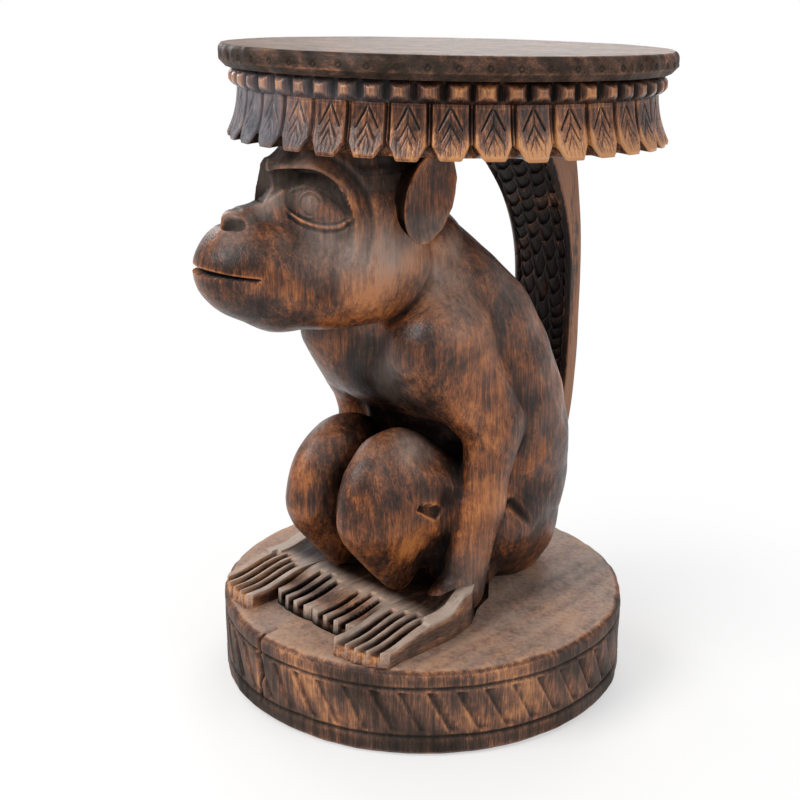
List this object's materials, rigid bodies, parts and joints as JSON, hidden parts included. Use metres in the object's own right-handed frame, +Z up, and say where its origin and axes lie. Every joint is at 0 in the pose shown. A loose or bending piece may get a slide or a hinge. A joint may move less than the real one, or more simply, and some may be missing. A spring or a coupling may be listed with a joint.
{
  "type": "carved monkey stool",
  "caption": "Carved wooden stool: a squatting monkey on a round base holds up a round seat with leaf and bead bands.",
  "frame": {"origin": "middle of the base's underside, on the floor", "axes": "+Z up; the monkey faces -Y; its left side is +X"},
  "size_m": [0.346, 0.3802, 0.5],
  "materials": {
    "stained_wood": "satin",
    "base_wood": "satin",
    "seat_wood": "matte",
    "band_wood": "satin",
    "dark_wood": "satin"
  },
  "bodies": {
    "root": {"base_disc": "base_wood", "left_foot": "base_wood", "right_foot": "base_wood", "left_hand": "base_wood", "right_hand": "base_wood", "left_leg": "stained_wood", "right_leg": "stained_wood", "left_arm": "stained_wood", "right_arm": "stained_wood", "torso": "stained_wood", "head": "stained_wood", "left_ear": "stained_wood", "right_ear": "stained_wood", "tail": "dark_wood", "crown_block": "dark_wood", "leaf_band": "band_wood", "bead_band": "band_wood", "seat_disc": "seat_wood"}
  },
  "joints": []
}
